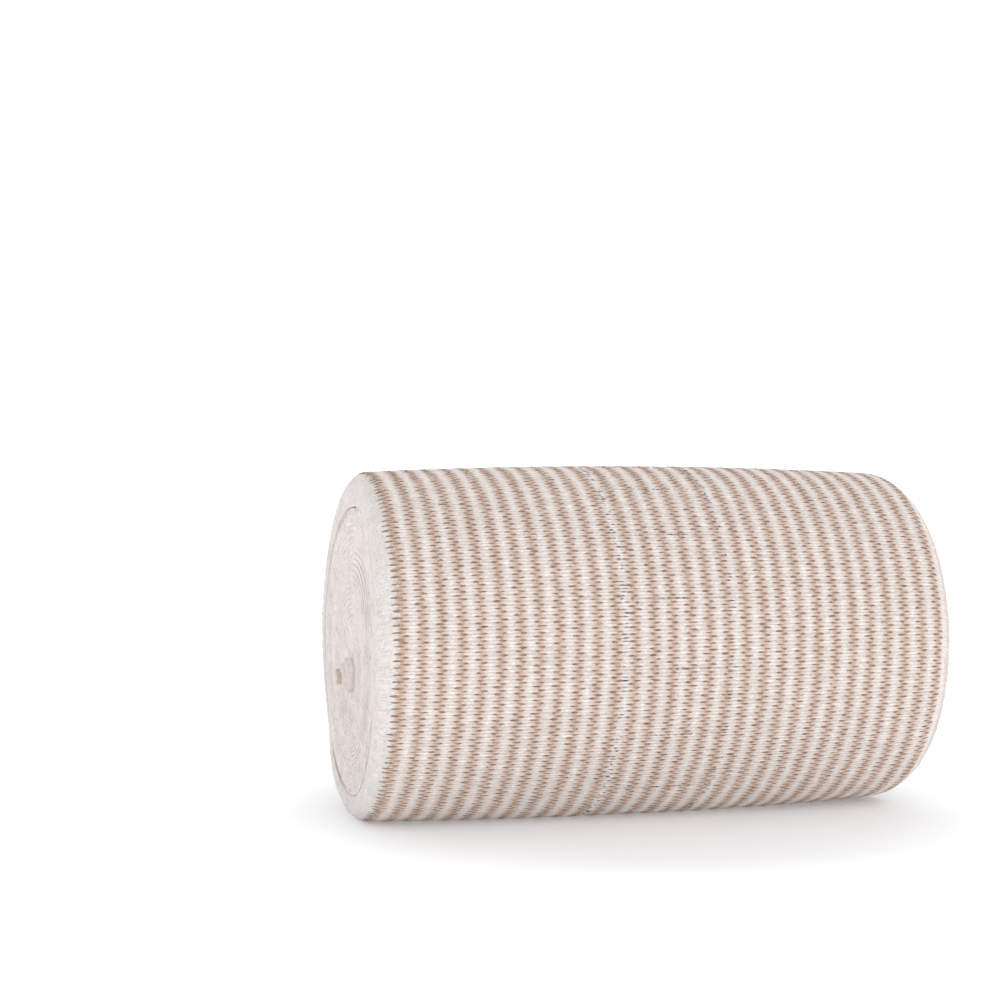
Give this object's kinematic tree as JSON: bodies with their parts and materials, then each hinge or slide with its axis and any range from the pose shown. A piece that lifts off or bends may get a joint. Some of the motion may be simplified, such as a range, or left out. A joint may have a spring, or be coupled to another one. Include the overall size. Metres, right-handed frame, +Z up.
{
  "type": "compression bandage",
  "caption": "Woven elastic compression bandage wound into a roll, lying on its side, with a striped face, curled selvedges and a loose free end.",
  "frame": {"origin": "bottom centre of the roll as it lies on its side, on the surface that it rests on", "axes": "+Z up, +X along the roll's axis from the end with the core's nub to the other end, +Y towards the side where the strip's free end lies low"},
  "size_m": [0.1028, 0.0608, 0.0602],
  "materials": {
    "elastic_cloth": "matt woven stretch cloth, off-white with narrow tan stripes along the strip"
  },
  "bodies": {
    "root": {"wound_strip": "elastic_cloth"}
  },
  "joints": []
}
